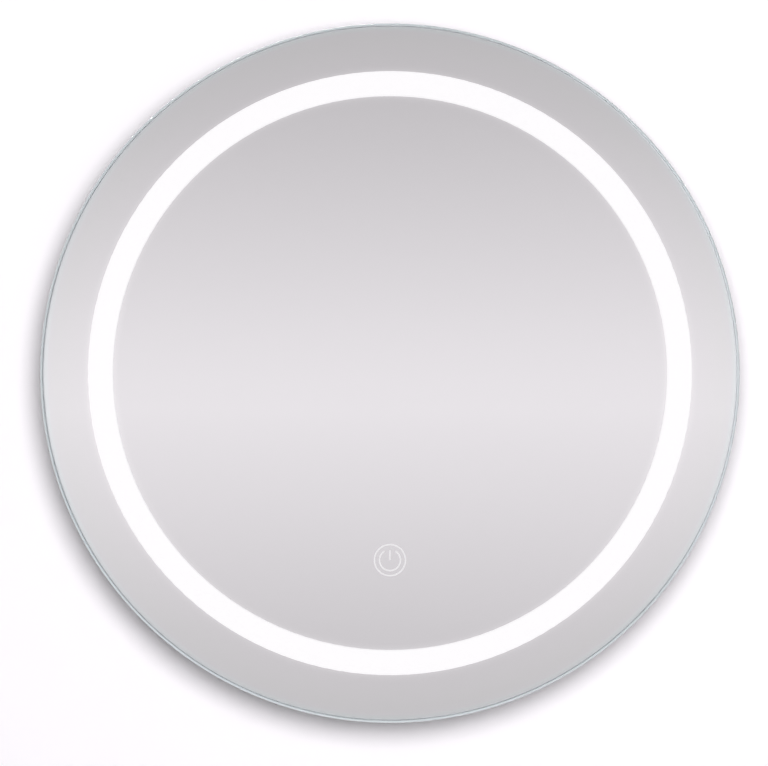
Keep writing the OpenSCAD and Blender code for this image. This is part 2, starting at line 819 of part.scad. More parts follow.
module block_places() {
    for (i = [-1, 0, 1]) translate([block_pos[0] + i * block_pitch, block_pos[1], 0]) children();
}

module terminal_block() {
    color("ivory") on_wall() difference() {
        translate([block_pos[0], block_pos[1], block_z]) block_at(block);
        block_places() {
            translate([0, 0, block_z + block[2] / 2]) rotate([90, 0, 0])
                cylinder(r = insert_r, h = 2 * block[1], center = true);
            for (y = [-1, 1]) translate([0, y * block[1] / 4, block_z - eps])
                cylinder(r = block_well_r, h = block[2] / 2 - insert_r / 2);
        }
        for (i = [-0.5, 0.5]) translate([block_pos[0] + i * block_pitch, block_pos[1], block_z])
            block_at([block_slot[0], 2 * block[1], block_slot[1]], -eps);
    }
}

module terminal_inserts() {
    color("gold") on_wall() block_places() translate([0, 0, block_z + block[2] / 2]) difference() {
        rotate([90, 0, 0]) cylinder(r = insert_r - slip / 2, h = block[1] - 1, center = true);
        rotate([90, 0, 0]) cylinder(r = insert_r - insert_wall, h = block[1], center = true);
        for (y = [-1, 1]) translate([0, y * block[1] / 4, -insert_r])
            cylinder(r = block_screw_r + slip, h = insert_r);
    }
}

module terminal_screws() {
    color("silver") on_wall() block_places() for (y = [-1, 1])
        translate([0, y * block[1] / 4, block_z + 1.2]) difference() {
            cylinder(r = block_screw_r, h = block[2] / 2 - 1);
            block_at([0.5, 3 * block_screw_r, 0.7], -eps);
        }
}

module terminal_cover() {
    color("lightsteelblue") on_wall() difference() {
        translate([box_right, -box_down, 0]) rounded_plate(cover_w, cover_h, 6, cover_t, cover_z);
        translate(entry_pos) bore(entry_r + grommet_wall, cover_t, cover_z);
        box_screw_places() bore(m3[0] + slip, cover_t, cover_z);
    }
}

module cover_screws() {
    color("silver") on_wall() box_screw_places() translate([0, 0, cover_z]) pan_screw(m3, m3_l);
}

module cable_grommet() {
    barrel = cover_t + 2 * slip;
    lip_t = 1.6;
    color([0.1, 0.1, 0.1]) on_wall() translate([entry_pos[0], entry_pos[1], cover_z - slip - lip_t])
        rotate_extrude() difference() {
            union() {
                translate([entry_r, 0]) square([grommet_wall + grommet_lip, lip_t]);
                translate([entry_r, 0]) square([grommet_wall - slip, barrel + 2 * lip_t]);
                translate([entry_r, lip_t + barrel]) square([grommet_wall + grommet_lip, lip_t]);
            }
            translate([entry_r + grommet_wall + grommet_lip, -eps])
                rotate([0, 0, 45]) square(0.8, center = true);
        }
}

module clamp_screw_places() {
    for (y = [-1, 1])
        translate([clamp_pos[0], clamp_pos[1] + y * (clamp[1] / 2 - clamp_screw_inset), 0])
            children();
}

module cord_clamp() {
    z = box_floor_z - box_wall - clamp[2];
    color("ivory") on_wall() difference() {
        translate([clamp_pos[0], clamp_pos[1], z]) block_at(clamp);
        translate([clamp_pos[0], clamp_pos[1], z + clamp[2] - clamp_open + supply_r])
            rotate([0, 90, 0]) cylinder(r = supply_r, h = clamp[0] + 1, center = true);
        translate([clamp_pos[0], clamp_pos[1], z + clamp[2] - clamp_open + supply_r])
            block_at([clamp[0] + 1, 2 * supply_r, clamp_open]);
        clamp_screw_places() bore(m3[0] + slip, clamp[2], z);
    }
}

module clamp_screws() {
    color("silver") on_wall() clamp_screw_places()
        translate([0, 0, box_floor_z - box_wall - clamp[2]])
            pan_screw(m3, clamp[2] + 0.8 * box_wall);
}

module earth_tag() {
    crimp = [6, 4.2, 2 * core_r + 1.4];
    color("silver") on_wall() translate([earth_pos[0], earth_pos[1], floor_z]) difference() {
        union() {
            cylinder(r = tag_r, h = tag_t);
            translate([0, -tag_r / 2, 0]) cube([tag_r + 4, tag_r, tag_t]);
            translate([tag_r + 2, -crimp[1] / 2, 0]) cube(crimp);
        }
        bore(m4[0] + slip, tag_t);
        translate([tag_r + 3, 0, tag_t + core_r + slip]) rotate([0, 90, 0])
            cylinder(r = core_r + slip, h = crimp[0]);
    }
}

module earth_screw() {
    color("gold") on_wall() translate([earth_pos[0], earth_pos[1], plate_z]) pan_screw(m4, m4_l);
}

module earth_nut() {
    color("gold") on_wall() translate([earth_pos[0], earth_pos[1], floor_z + tag_t]) difference() {
        cylinder(r = nut_af / sqrt(3), h = nut_h, $fn = 6);
        bore(m4[0] + slip / 2, nut_h);
    }
}

// Touch switch, stuck to the back of the glass behind the mark

module touch_diffuser() {
    color("white") on_wall() translate([0, mark_y, diffuser_z]) difference() {
        block_at([touch_w, touch_h, diffuser_t]);
        ring(electrode[0] - slip, electrode[1] + slip, electrode[2] + slip, -eps);
    }
}

module touch_electrode() {
    color("orange") on_wall() translate([0, mark_y, diffuser_z])
        ring(electrode[0], electrode[1], electrode[2]);
}

touch_contact_x = (electrode[0] + electrode[1]) / 2;

module touch_contact() {
    board_top = touch_z + touch_wall + touch_board[2];
    color("gold") on_wall() translate([touch_contact_x, mark_y, board_top])
        cylinder(r = contact_r, h = diffuser_z - board_top);
}

module touch_case() {
    inner = [touch_w - 2 * touch_wall, touch_h - 2 * touch_wall];
    depth = touch_d - touch_wall;
    color("white") on_wall() translate([0, mark_y, touch_z + touch_wall]) difference() {
        block_at([touch_w, touch_h, depth]);
        block_at([inner[0], inner[1], depth - touch_wall + eps], -eps);
        bore(touch_window_r, depth);
        translate([touch_contact_x, 0, 0]) bore(contact_r + slip, depth);
        translate([0, 0, touch_lead_z - touch_z - touch_wall]) rotate([0, 90, 0])
            cylinder(r = lead_r + slip, h = touch_w + 2, center = true);
    }
}

module touch_lid() {
    color("white") on_wall() translate([0, mark_y, touch_z]) block_at([touch_w, touch_h, touch_wall]);
}

module touch_circuit() {
    controller = [8, 6, 1.4];
    lamp = [3.5, 2.8, 1.9];
    color("darkgreen") on_wall() translate([0, mark_y, touch_z + touch_wall]) {
        block_at(touch_board);
        translate([-touch_w / 4, -touch_h / 4, touch_board[2] - eps]) block_at(controller);
        for (x = [-1, 1]) translate([x * touch_w / 8, touch_h / 4, touch_board[2] - eps])
            block_at(lamp);
    }
}

// Hanging

module hanging_rail() {
    lip_end = hook_shelf_y + rail_lip_play;
    color("silver") on_wall() difference() {
        along_x(rail_w) {
            translate([seat_y + bend_r + hook_t, rail_z])
                square([rail_flange_h - bend_r - hook_t, hook_t]);
            bend(seat_y + bend_r + hook_t, rail_z - bend_r, -1, 1);
            translate([seat_y, rail_lip_z + hook_t + bend_r])
                square([hook_t, rail_z - rail_lip_z - hook_t - 2 * bend_r]);
            bend(seat_y - bend_r, rail_lip_z + hook_t + bend_r, 1, -1);
            translate([lip_end, rail_lip_z]) square([seat_y - bend_r - lip_end, hook_t]);
        }
        rail_places() bore(rivet[0] + slip, hook_t, rail_z);
    }
}

module rail_rivets() {
    color("lightgray") on_wall() rail_places()
        translate([0, 0, rail_z]) blind_rivet(rivet, hook_t + plate_t);
}

module wall_bumpers() {
    color([0.1, 0.1, 0.1]) on_wall() bumper_places() difference() {
        cylinder(r1 = bumper_d / 2 - bumper_taper, r2 = bumper_d / 2, h = plate_z);
        bore(m4[0] + slip, plate_z);
        bore(m4[1] + 4 * slip, bumper_recess);
    }
}

module bumper_screws() {
    color("silver") on_wall() bumper_places()
        translate([0, 0, bumper_recess]) pan_screw(m4, plate_z + plate_t - bumper_recess + 3);
}

module wall_frame() {
    window_w = wall_frame_w - 2 * wall_bar_w;
    window_h = wall_frame_h - 2 * wall_bar_w;
    bend_y = hook_shelf_y - bend_r - hook_t;
    lip_y = hook_shelf_y + bend_r;
    corner_r = 10;
    color([0.2, 0.2, 0.21]) on_wall() {
        difference() {
            union() {
                rounded_plate(wall_frame_w, 2 * bend_y, corner_r, hook_t);
                translate([-wall_frame_w / 2, bend_y - 2 * corner_r, 0])
                    cube([wall_frame_w, 2 * corner_r, hook_t]);
            }
            rounded_plate(window_w, window_h, 0.8 * corner_r, hook_t + 2 * eps, -eps);
            for (i = [-1, 1], j = [-1, 1])
                translate([i * screw_x, j * screw_y, 0]) bore(wall_hole_d / 2, hook_t);
        }
        along_x(wall_frame_w) {
            bend(bend_y, hook_t + bend_r, 1, -1);
            translate([bend_y + bend_r, hook_t + bend_r])
                square([hook_t, hook_gap - hook_t - 2 * bend_r]);
            bend(lip_y, hook_gap - bend_r, -1, 1);
            translate([lip_y, hook_gap]) square([seat_y - lip_y, hook_t]);
        }
    }
}

mirror_glass();
mirror_silvering();
edge_seal();
frosted_band();
touch_mark();
bonding_tape();
silicone_bead();
frame_ring();
front_flange();
frame_joiner();
joiner_rivets();
back_plate();
plate_gasket();
plate_screws();
light_baffle();
baffle_rivets();
led_strip();
led_chips();
strip_resistors();
strip_connector();
strip_lead();
driver_case();
driver_lid();
driver_board();
driver_transformer();
driver_capacitors();
driver_choke();
driver_screws();
driver_input_lead();
driver_output_lead();
lead_clips();
wiring_box();
terminal_block();
terminal_inserts();
terminal_screws();
terminal_cover();
cover_screws();
cable_grommet();
cord_clamp();
clamp_screws();
earth_lead();
earth_tag();
earth_screw();
earth_nut();
touch_diffuser();
touch_electrode();
touch_contact();
touch_case();
touch_lid();
touch_circuit();
hanging_rail();
rail_rivets();
wall_bumpers();
bumper_screws();
wall_frame();
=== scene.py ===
import math

import bpy
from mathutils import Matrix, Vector


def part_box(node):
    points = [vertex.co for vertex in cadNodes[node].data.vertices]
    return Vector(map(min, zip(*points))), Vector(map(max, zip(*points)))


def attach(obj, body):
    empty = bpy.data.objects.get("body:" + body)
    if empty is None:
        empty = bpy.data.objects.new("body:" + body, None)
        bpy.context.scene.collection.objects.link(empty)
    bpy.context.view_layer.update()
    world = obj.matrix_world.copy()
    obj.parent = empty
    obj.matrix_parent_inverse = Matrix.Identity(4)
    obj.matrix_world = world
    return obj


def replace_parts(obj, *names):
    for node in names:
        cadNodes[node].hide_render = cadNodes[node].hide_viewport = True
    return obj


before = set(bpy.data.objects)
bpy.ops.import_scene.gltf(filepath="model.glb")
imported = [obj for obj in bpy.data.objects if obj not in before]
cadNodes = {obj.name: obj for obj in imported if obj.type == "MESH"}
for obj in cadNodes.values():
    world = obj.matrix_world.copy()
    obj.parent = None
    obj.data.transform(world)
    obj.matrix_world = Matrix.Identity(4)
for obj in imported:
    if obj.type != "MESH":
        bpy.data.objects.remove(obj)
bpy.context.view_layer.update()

# Round wall mirror with a lit frosted band. Metres, X right, Z up, the glass faces -Y.
# The wall is the plane Y = 0 and the origin is straight behind the mirror's centre.
mm = 0.001

# Places that come from the frame, as radii and as distances out from the wall
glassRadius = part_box("mirror_glass")[1].x
glassFace = -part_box("mirror_glass")[0].y
glassBack = -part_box("mirror_glass")[1].y
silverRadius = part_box("mirror_silvering")[1].x
coatingBack = -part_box("mirror_silvering")[1].y
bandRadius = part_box("frosted_band")[1].x
bandWidth = 21.7 * mm           # a box gives only the band's outside
bandInner = bandRadius - bandWidth
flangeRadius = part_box("front_flange")[1].x
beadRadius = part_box("silicone_bead")[1].x
beadBack = -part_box("silicone_bead")[1].y
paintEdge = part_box("edge_seal")[1].x


# Camera, at the photograph's viewpoint

cameraSettings = {
    "distance": 3.0,            # from the glass, across a room
    "seenWidth": 658.3 * mm,    # of the picture, at the glass
    "aside": -5.1 * mm,         # from the mirror's centre
    "above": -8.5 * mm,
    "sensor": 36.0,
    "farthest": 60.0,
}


def makeCamera(s):
    data = bpy.data.cameras.new("camera")
    data.sensor_width = s["sensor"]
    data.lens = s["sensor"] * s["distance"] / s["seenWidth"]
    data.clip_end = s["farthest"]
    made = bpy.data.objects.new("camera", data)
    made.location = (s["aside"], -glassFace - s["distance"], s["above"])
    made.rotation_euler = (math.radians(90), 0, 0)
    bpy.context.scene.collection.objects.link(made)
    bpy.context.scene.camera = made


makeCamera(cameraSettings)
print("camera placed")


# Colours and nodes

def hexColour(text):
    parts = [int(text[i:i + 2], 16) / 255 for i in (1, 3, 5)]
    return [p / 12.92 if p <= 0.04045 else ((p + 0.055) / 1.055) ** 2.4 for p in parts] + [1.0]


def addNode(tree, kind, values=None, links=None, **settings):
    made = tree.nodes.new("ShaderNode" + kind)
    for name, value in settings.items():
        setattr(made, name, value)
    for socket, value in (values or {}).items():
        made.inputs[socket].default_value = value
    for socket, source in (links or {}).items():
        tree.links.new(source, made.inputs[socket])
    return made


# A material with one main colour, and the tree and shader that its pattern is added to
def newMaterial(name, colour, roughness, metallic=0.0, sockets=None):
    made = bpy.data.materials.new(name)
    made.use_nodes = True
    shader = made.node_tree.nodes["Principled BSDF"]
    shader.inputs["Base Color"].default_value = hexColour(colour)
    shader.inputs["Roughness"].default_value = roughness
    shader.inputs["Metallic"].default_value = metallic
    for socket, value in (sockets or {}).items():
        shader.inputs[socket].default_value = value
    return made, made.node_tree, shader


# Noise whose grain has the given real size, stretched along the axes if need be
def grain(tree, size, stretch=(1, 1, 1), detail=3.0):
    place = addNode(tree, "TexCoord")
    turned = addNode(tree, "Mapping", {"Scale": [1 / k for k in stretch]},
                     {"Vector": place.outputs["Object"]})
    noise = addNode(tree, "TexNoise", {"Scale": 1 / size, "Detail": detail},
                    {"Vector": turned.outputs["Vector"]})
    return noise.outputs["Fac"]


# Lets a pattern drive the colour, the roughness and the relief
def applyPattern(tree, shader, pattern, colours=None, rough=None, relief=None, low=0.3, high=0.7):
    if colours:
        ramp = addNode(tree, "ValToRGB", links={"Fac": pattern})
        for stop, place, colour in zip(ramp.color_ramp.elements, (low, high), colours):
            stop.position = place
            stop.color = hexColour(colour)
        tree.links.new(ramp.outputs["Color"], shader.inputs["Base Color"])
    if rough:
        spread = addNode(tree, "MapRange", {"From Min": low, "From Max": high,
                                            "To Min": rough[0], "To Max": rough[1]},
                         {"Value": pattern})
        tree.links.new(spread.outputs["Result"], shader.inputs["Roughness"])
    if relief:
        bump = addNode(tree, "Bump", {"Distance": relief}, {"Height": pattern})
        tree.links.new(bump.outputs["Normal"], shader.inputs["Normal"])


# A material whose colour, roughness and relief vary with a grain of the given real size
def grained(name, colours, rough, size, relief, metallic=0.0, stretch=(1, 1, 1), detail=3.0,
            sockets=None):
    made, tree, shader = newMaterial(name, colours[1], rough[1], metallic, sockets)
    applyPattern(tree, shader, grain(tree, size, stretch, detail), colours, rough, relief)
    return made


# Distance from the mirror's axis
def axisRadius(tree):
    place = addNode(tree, "TexCoord")
    flat = addNode(tree, "VectorMath", {1: (1, 0, 1)}, {0: place.outputs["Object"]},
                   operation="MULTIPLY")
    return addNode(tree, "VectorMath", links={0: flat.outputs["Vector"]},
                   operation="LENGTH").outputs["Value"]


# Colours that follow each other from the axis outwards, given as (radius, colour)
def radialColours(tree, bands):
    inner, outer = bands[0][0] - mm, bands[-1][0] + mm    # a millimetre to spare at both ends
    share = addNode(tree, "MapRange", {"From Min": inner, "From Max": outer},
                    {"Value": axisRadius(tree)})
    ramp = addNode(tree, "ValToRGB", links={"Fac": share.outputs["Result"]})
    stops = ramp.color_ramp.elements
    stops.remove(stops[1])
    stops[0].color = hexColour(bands[0][1])
    for radius, colour in bands:
        stops.new((radius - inner) / (outer - inner)).color = hexColour(colour)
    return ramp.outputs["Color"]


# The same, given as (millimetres in from the glass edge, colour)
def rimColours(tree, bands):
    return radialColours(tree, [(glassRadius - inset * mm, colour) for inset, colour in bands])


# How far a place on the rim lies towards an angle, in degrees from the right: 1 there, -1 opposite
def towards(tree, degrees):
    angle = math.radians(degrees)
    place = addNode(tree, "TexCoord")
    direction = (math.cos(angle) / glassRadius, 0, math.sin(angle) / glassRadius)
    return addNode(tree, "VectorMath", {1: direction}, {0: place.outputs["Object"]},
                   operation="DOT_PRODUCT").outputs["Value"]


# How the rim's painted shade, painted highlight and painted glow depend on the place round it.
# Angles are in degrees from the right, and from and to are values of towards().
rimSettings = {
    "paintedHighlightAngle": 15, "paintedHighlightFrom": 0.55, "paintedHighlightTo": 0.9,    # where the painted highlight lies
    "sideShare": 0.8, "belowShare": 0.35,                      # of painted shade
    "paintedGlowAngle": 250, "paintedGlowMore": 0.5,                           # of the painted glow in the edge
    "paintedLacquerHighlight": 0.12,
}


# Share of the painted highlight by place round the rim: all of it at the right
def paintedHighlightShare(tree, s):
    return addNode(tree, "MapRange", {"From Min": s["paintedHighlightFrom"], "From Max": s["paintedHighlightTo"]},
                   {"Value": towards(tree, s["paintedHighlightAngle"])}).outputs["Result"]


# Share of painted shade by place round the rim: most at the left, less below, least at the top and
# right
def paintedShadeShare(tree, s):
    across = towards(tree, 0)
    sides = addNode(tree, "Math", links={0: across, 1: across}, operation="MULTIPLY")
    below = addNode(tree, "Math", {1: s["belowShare"]}, {0: towards(tree, 270)},
                    operation="MULTIPLY")
    both = addNode(tree, "Math", {1: s["sideShare"]}, {0: sides.outputs[0], 2: below.outputs[0]},
                   operation="MULTIPLY_ADD", use_clamp=True)
    spared = addNode(tree, "Math", {0: 1.0}, {1: paintedHighlightShare(tree, s)}, operation="SUBTRACT")
    return addNode(tree, "Math", links={0: both.outputs[0], 1: spared.outputs[0]},
                   operation="MULTIPLY").outputs[0]


# Two sets of rim colours, with more and with less painted shade, mixed by the share of painted
# shade
def mixedByPaintedShade(tree, lessShade, moreShade, s):
    return addNode(tree, "Mix", None, {"Factor": paintedShadeShare(tree, s), "A": lessShade, "B": moreShade},
                   data_type="RGBA").outputs["Result"]


# Materials of the mirror's front

glassIor = 1.52
paintedEdgeLight = "#F6FBFF"          # colour of the painted glow and highlight on the edge and lacquer: the strip's light through the glass
bandWhite = "#FFFDFF"           # the strip's light out of the frosted glass


# Float glass: clear, so that the face shows the silver behind it
def floatGlass():
    return newMaterial("float glass", "#FFFFFF", 0.0, 0.0,
                       {"Transmission Weight": 1.0, "IOR": glassIor})[0]


# Ground and polished edge of float glass: pale blue green from its iron, satin, with a dark line
# where the lacquer shows through it, deepened by painted shade at the left and below, a painted
# glow that stands for the strip's light which the glass leads to it, most of it to the lower left,
# and a painted highlight at the right. All tones are given by millimetres in from the glass edge.

edgeSettings = {
    # Base tones with more painted shade and with less, mixed round the rim
    "moreShade": [(2.2, "#A2ABAF"), (1.8, "#AAB2B6"), (1.4, "#B6BDC0"), (0.1, "#B8BEC1")],
    "lessShade": [(2.2, "#D0D6D9"), (1.8, "#C2C8CB"), (1.4, "#B6BDC0"), (0.1, "#B8BEC1")],
    # Painted glow in the edge, as emission strength: it stands for the strip's light
    "glow": [(2.2, "#404040"), (1.8, "#545454"), (1.4, "#6E6E6E"), (0.8, "#848484"),
             (0, "#848484")],
    # Painted highlight at the right, as emission strength
    "paintedHighlight": [(2.2, "#606060"), (1.8, "#606060"), (1.4, "#444444"), (0.8, "#000000")],
}


def polishedEdge(s, rim):
    made, tree, shader = newMaterial("polished glass edge", "#B8BEC1", 0.16, 0.0,
                                     {"Transmission Weight": 0.2, "IOR": glassIor,
                                      "Emission Color": hexColour(paintedEdgeLight)})
    shadedEdgeTones = mixedByPaintedShade(tree, rimColours(tree, s["lessShade"]), rimColours(tree, s["moreShade"]), rim)
    # More painted glow towards the lower left
    lower = addNode(tree, "Math", {1: rim["paintedGlowMore"], 2: 1.0}, {0: towards(tree, rim["paintedGlowAngle"])},
                    operation="MULTIPLY_ADD")
    paintedEdgeGlow = addNode(tree, "Math", links={0: rimColours(tree, s["glow"]), 1: lower.outputs[0]},
                  operation="MULTIPLY")
    whole = addNode(tree, "Math", links={0: rimColours(tree, s["paintedHighlight"]), 1: paintedHighlightShare(tree, rim),
                                         2: paintedEdgeGlow.outputs[0]}, operation="MULTIPLY_ADD")
    tree.links.new(whole.outputs[0], shader.inputs["Emission Strength"])
    tree.links.new(shadedEdgeTones, shader.inputs["Base Color"])
    wheelMarks = grain(tree, 0.8 * mm, (1, 6, 1))
    applyPattern(tree, shader, wheelMarks, rough=(0.1, 0.22), relief=0.01 * mm)
    return made


# Chemically deposited silver: bright and nearly neutral, with the glass's green at its rim.
# A painted glow beside the band stands for its light spreading a few millimetres in the glass.

silverSettings = {
    "middle": "#F6F5F6", "tintFrom": 5 * mm,                         # out from the band
    "tint": [(12, "#F4F4F4"), (7, "#F4F4F5"), (4.8, "#F3F7F7")],     # in from the glass edge
    "end": "#F3F8F9",
    "paintedSpill": [(0, "#464646"), (2, "#2B2B2B"), (5, "#000000")],       # painted glow, away from the band
}


def mirrorSilver(s):
    made, tree, shader = newMaterial("mirror silver", s["middle"], 0.0, 1.0,
                                     {"Emission Color": hexColour(bandWhite)})
    rim = [(glassRadius - inset * mm, colour) for inset, colour in s["tint"]]
    tint = radialColours(tree, [(bandRadius + s["tintFrom"], s["middle"])] + rim
                         + [(silverRadius, s["end"])])
    tree.links.new(tint, shader.inputs["Base Color"])
    # Painted glow of the silver beside the band, as emission strength
    inwards = [(bandInner - away * mm, colour) for away, colour in s["paintedSpill"]]
    outwards = [(bandRadius + away * mm, colour) for away, colour in s["paintedSpill"]]
    glow = radialColours(tree, inwards[::-1] + outwards)
    tree.links.new(glow, shader.inputs["Emission Strength"])
    return made


# Aluminium lacquer that keeps damp off the silver's cut edge: as bright as the silver where it
# laps it, then a darker line, partly the lacquer's own tone and partly painted shade, most at the
# left, less below, least at the top and right. At the right a painted highlight lies on it.
def edgeLacquer(rim):
    made, tree, shader = newMaterial("edge lacquer", "#B4C0C2", 0.12, 1.0,
                                     {"Emission Color": hexColour(paintedEdgeLight)})
    moreShade = radialColours(tree, [(silverRadius, "#F9FDFE"), (silverRadius + 0.8 * mm, "#F5FBFC"),
                                 (silverRadius + 1.05 * mm, "#DFE6EA"), (paintEdge, "#DFE6EA")])
    lessShade = radialColours(tree, [(silverRadius, "#F8FDFE"), (paintEdge, "#F2F8FA")])
    tree.links.new(mixedByPaintedShade(tree, lessShade, moreShade, rim), shader.inputs["Base Color"])
    # Painted highlight on the lacquer at the right
    paintedHighlight = addNode(tree, "Math", {1: rim["paintedLacquerHighlight"]}, {0: paintedHighlightShare(tree, rim)},
                    operation="MULTIPLY")
    tree.links.new(paintedHighlight.outputs[0], shader.inputs["Emission Strength"])
    applyPattern(tree, shader, grain(tree, 6 * mm), rough=(0.1, 0.18))
    return made


# Sandblasted glass: matt, with fine grit, and the given light shines through it
def sandblasted(name, colour, light=1.0):
    made, tree, shader = newMaterial(name, colour, 0.6, 0.0,
                                     {"Emission Color": hexColour(bandWhite),
                                      "Emission Strength": light})
    applyPattern(tree, shader, grain(tree, 0.5 * mm), rough=(0.5, 0.7), relief=0.01 * mm)
    return made, tree, shader


# The lit band: even white, with an inner edge that the blast left a little soft

frostSettings = {"soft": 0.9 * mm, "edge": "#E6E6E6", "middle": "#FBFBFB"}


def litFrost(s):
    made, tree, shader = sandblasted("lit sandblasted glass", "#6E6E6E")
    glow = radialColours(tree, [(bandInner, s["edge"]), (bandInner + s["soft"], s["middle"]),
                                (bandRadius, s["middle"])])
    tree.links.new(glow, shader.inputs["Emission Strength"])
    return made


# Materials of the chassis

# Hot dip galvanised steel: spangles of zinc, each with its own tone, sheen and run of feathers

spangleSettings = {
    "spangle": 11 * mm, "bend": 0.005, "bendScale": 150.0,
    "feather": 1.1 * mm, "run": 0.14, "featherShare": 0.4,
    "spray": 0.9 * mm, "relief": 0.006 * mm,
}


def galvanisedSteel(s):
    made, tree, shader = newMaterial("galvanised steel", "#B4B9BD", 0.4, 1.0)
    place = addNode(tree, "TexCoord")
    bent = addNode(tree, "TexNoise", {"Scale": s["bendScale"], "Detail": 2.0},
                   {"Vector": place.outputs["Object"]})
    mixed = addNode(tree, "Mix", {"Factor": s["bend"]},
                    {"A": place.outputs["Object"], "B": bent.outputs["Color"]}, data_type="VECTOR")
    spangle = addNode(tree, "TexVoronoi", {"Scale": 1 / s["spangle"]},
                      {"Vector": mixed.outputs["Result"]})
    tone = addNode(tree, "SeparateColor", links={"Color": spangle.outputs["Color"]})
    turn = addNode(tree, "Math", {1: 2 * math.pi}, {0: tone.outputs["Green"]}, operation="MULTIPLY")
    turned = addNode(tree, "VectorRotate", None,
                     {"Vector": place.outputs["Object"], "Angle": turn.outputs[0]},
                     rotation_type="Y_AXIS")
    run = addNode(tree, "Mapping", {"Scale": (1, 1, s["run"])},
                  {"Vector": turned.outputs["Vector"]})
    feather = addNode(tree, "TexNoise", {"Scale": 1 / s["feather"], "Detail": 2.0},
                      {"Vector": run.outputs["Vector"]})
    whole = addNode(tree, "Mix", {"Factor": s["featherShare"]},
                    {"A": tone.outputs["Red"], "B": feather.outputs["Fac"]})
    applyPattern(tree, shader, whole.outputs["Result"], ("#A6ACB1", "#C6CBCF"), (0.3, 0.46),
                 low=0.05, high=0.95)
    fine = addNode(tree, "Bump", {"Distance": s["relief"]}, {"Height": grain(tree, s["spray"])})
    tree.links.new(fine.outputs["Normal"], shader.inputs["Normal"])
    return made


# Closed cell foam: soft, with open pores on the cut edge
def closedCellFoam(pore):
    made, tree, shader = newMaterial("closed cell foam", "#3A3B3D", 0.9)
    place = addNode(tree, "TexCoord")
    pores = addNode(tree, "TexVoronoi", {"Scale": 1 / pore}, {"Vector": place.outputs["Object"]})
    applyPattern(tree, shader, pores.outputs["Distance"], ("#2B2C2E", "#434446"), (0.8, 0.95),
                 0.12 * mm, low=0.1, high=0.6)
    return made


# Materials of the wiring and the electrics

# Moulded plastics: the fine grain of a spark eroded mould
def mouldedPlastic(name, dark, light):
    return grained(name, (dark, light), rough=(0.38, 0.52), size=0.8 * mm, relief=0.02 * mm,
                   detail=2.0)


# Bare and plated metals on small turned or stamped parts
def smallMetal(name, dark, light, rough):
    return grained(name, (dark, light), rough=(rough - 0.06, rough + 0.08), size=1.0 * mm,
                   relief=0.005 * mm, metallic=1.0)


# Solder mask over copper tracks, which stand a little proud
def circuitBoard(name, mask, track, pitch):
    made, tree, shader = newMaterial(name, mask, 0.3)
    place = addNode(tree, "TexCoord")
    flat = addNode(tree, "Mapping", {"Rotation": (math.radians(90), 0, 0)},
                   {"Vector": place.outputs["Object"]})
    tracks = addNode(tree, "TexBrick", {"Scale": 1 / pitch, "Mortar Size": 0.06,
                                        "Mortar Smooth": 0.2}, {"Vector": flat.outputs["Vector"]})
    applyPattern(tree, shader, tracks.outputs["Fac"], (mask, track), (0.28, 0.36), 0.03 * mm,
                 low=0.2, high=0.8)
    return made


waveLength = math.pi / 10       # of a wave texture at scale 1


# Turns of wire or tape: ribs at the real pitch across the winding
def wound(name, dark, light, pitch, axis, rough):
    made, tree, shader = newMaterial(name, light, rough)
    place = addNode(tree, "TexCoord")
    turns = addNode(tree, "TexWave", {"Scale": waveLength / pitch, "Distortion": 0.4},
                    {"Vector": place.outputs["Object"]}, bands_direction=axis)
    applyPattern(tree, shader, turns.outputs["Fac"], (dark, light), (rough - 0.05, rough + 0.1),
                 0.1 * mm, low=0.1, high=0.9)
    return made


glass = floatGlass()
edge = polishedEdge(edgeSettings, rimSettings)
silver = mirrorSilver(silverSettings)
lacquer = edgeLacquer(rimSettings)
frost = litFrost(frostSettings)
galvanised = galvanisedSteel(spangleSettings)
foam = closedCellFoam(0.7 * mm)

# Etched lines over the milky plate: dimmer than the band, with the same fine grit
etch = sandblasted("lit etched glass", "#C4C3C5", light=0.81)[0]

# Two coats of mirror backing paint: warm grey, with fine spray mottle
paint = grained("mirror backing paint", ("#6F6F68", "#7F7F77"), rough=(0.5, 0.7), size=1.4 * mm,
                relief=0.02 * mm)

# Anodised aluminium: satin, with faint lines along the rolled strip
aluminium = grained("anodised aluminium", ("#B9BDBE", "#CFD3D4"), rough=(0.28, 0.44), size=0.7 * mm,
                    relief=0.006 * mm, metallic=1.0, stretch=(22, 1, 22))

# Bright zinc plate on small steel parts
zinc = grained("bright zinc plate", ("#BCC0C6", "#D2D4D8"), rough=(0.22, 0.36), size=1.2 * mm,
               relief=0.004 * mm, metallic=1.0)

# Bare aluminium rivets, drawn and tumbled
rivets = grained("tumbled aluminium", ("#BDBFC1", "#CFD1D2"), rough=(0.28, 0.42), size=0.8 * mm,
                 relief=0.006 * mm, metallic=1.0)

# Powder coat on folded steel: fine orange peel, satin black
powder = grained("black powder coat", ("#292A2D", "#303134"), rough=(0.42, 0.56), size=1.1 * mm,
                 relief=0.05 * mm, detail=1.5)

# White paint inside the light chamber, which throws the light forward
enamel = grained("white stove enamel", ("#EFEFED", "#F3F3F1"), rough=(0.34, 0.46), size=1.6 * mm,
                 relief=0.02 * mm, detail=1.5)

# Moulded rubber: matt, dusty black
rubber = grained("moulded rubber", ("#1A1B1C", "#242526"), rough=(0.7, 0.88), size=0.7 * mm,
                 relief=0.03 * mm)

# Neutral silicone, tooled by hand: milky, with smears and low waves
silicone = grained("neutral silicone", ("#D2D4D2", "#DCDEDC"), rough=(0.28, 0.45), size=7 * mm,
                   relief=0.15 * mm,
                   sockets={"Subsurface Weight": 0.15, "Subsurface Radius": (2 * mm,) * 3})

